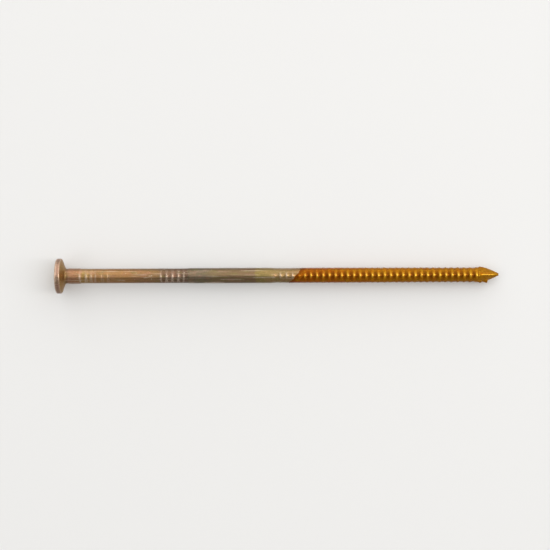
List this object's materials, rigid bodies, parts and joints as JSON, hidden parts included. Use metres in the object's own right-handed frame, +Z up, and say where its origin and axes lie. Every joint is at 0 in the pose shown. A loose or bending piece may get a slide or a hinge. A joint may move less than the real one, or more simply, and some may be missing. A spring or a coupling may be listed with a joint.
{
  "type": "ring shank nail",
  "caption": "Full round head nail with a ringed shank, a diamond point and a resin coat, as driven by a strip nailer.",
  "frame": {"origin": "centre of the flat striking face of the head", "axes": "+X along the shank from the head to the point, -X out of the striking face, +Z up as it lies, -Y the side with the burr on the point"},
  "size_m": [0.0889, 0.0072, 0.0072],
  "materials": {
    "zinc_plated_steel": "yellow chromated zinc plating on drawn steel wire, satin, with drawing lines",
    "amber_resin": "clear amber resin dipped on the rings and the point, glossy"
  },
  "bodies": {
    "root": {"steel_nail": "zinc_plated_steel", "resin_coat": "amber_resin"}
  },
  "joints": []
}
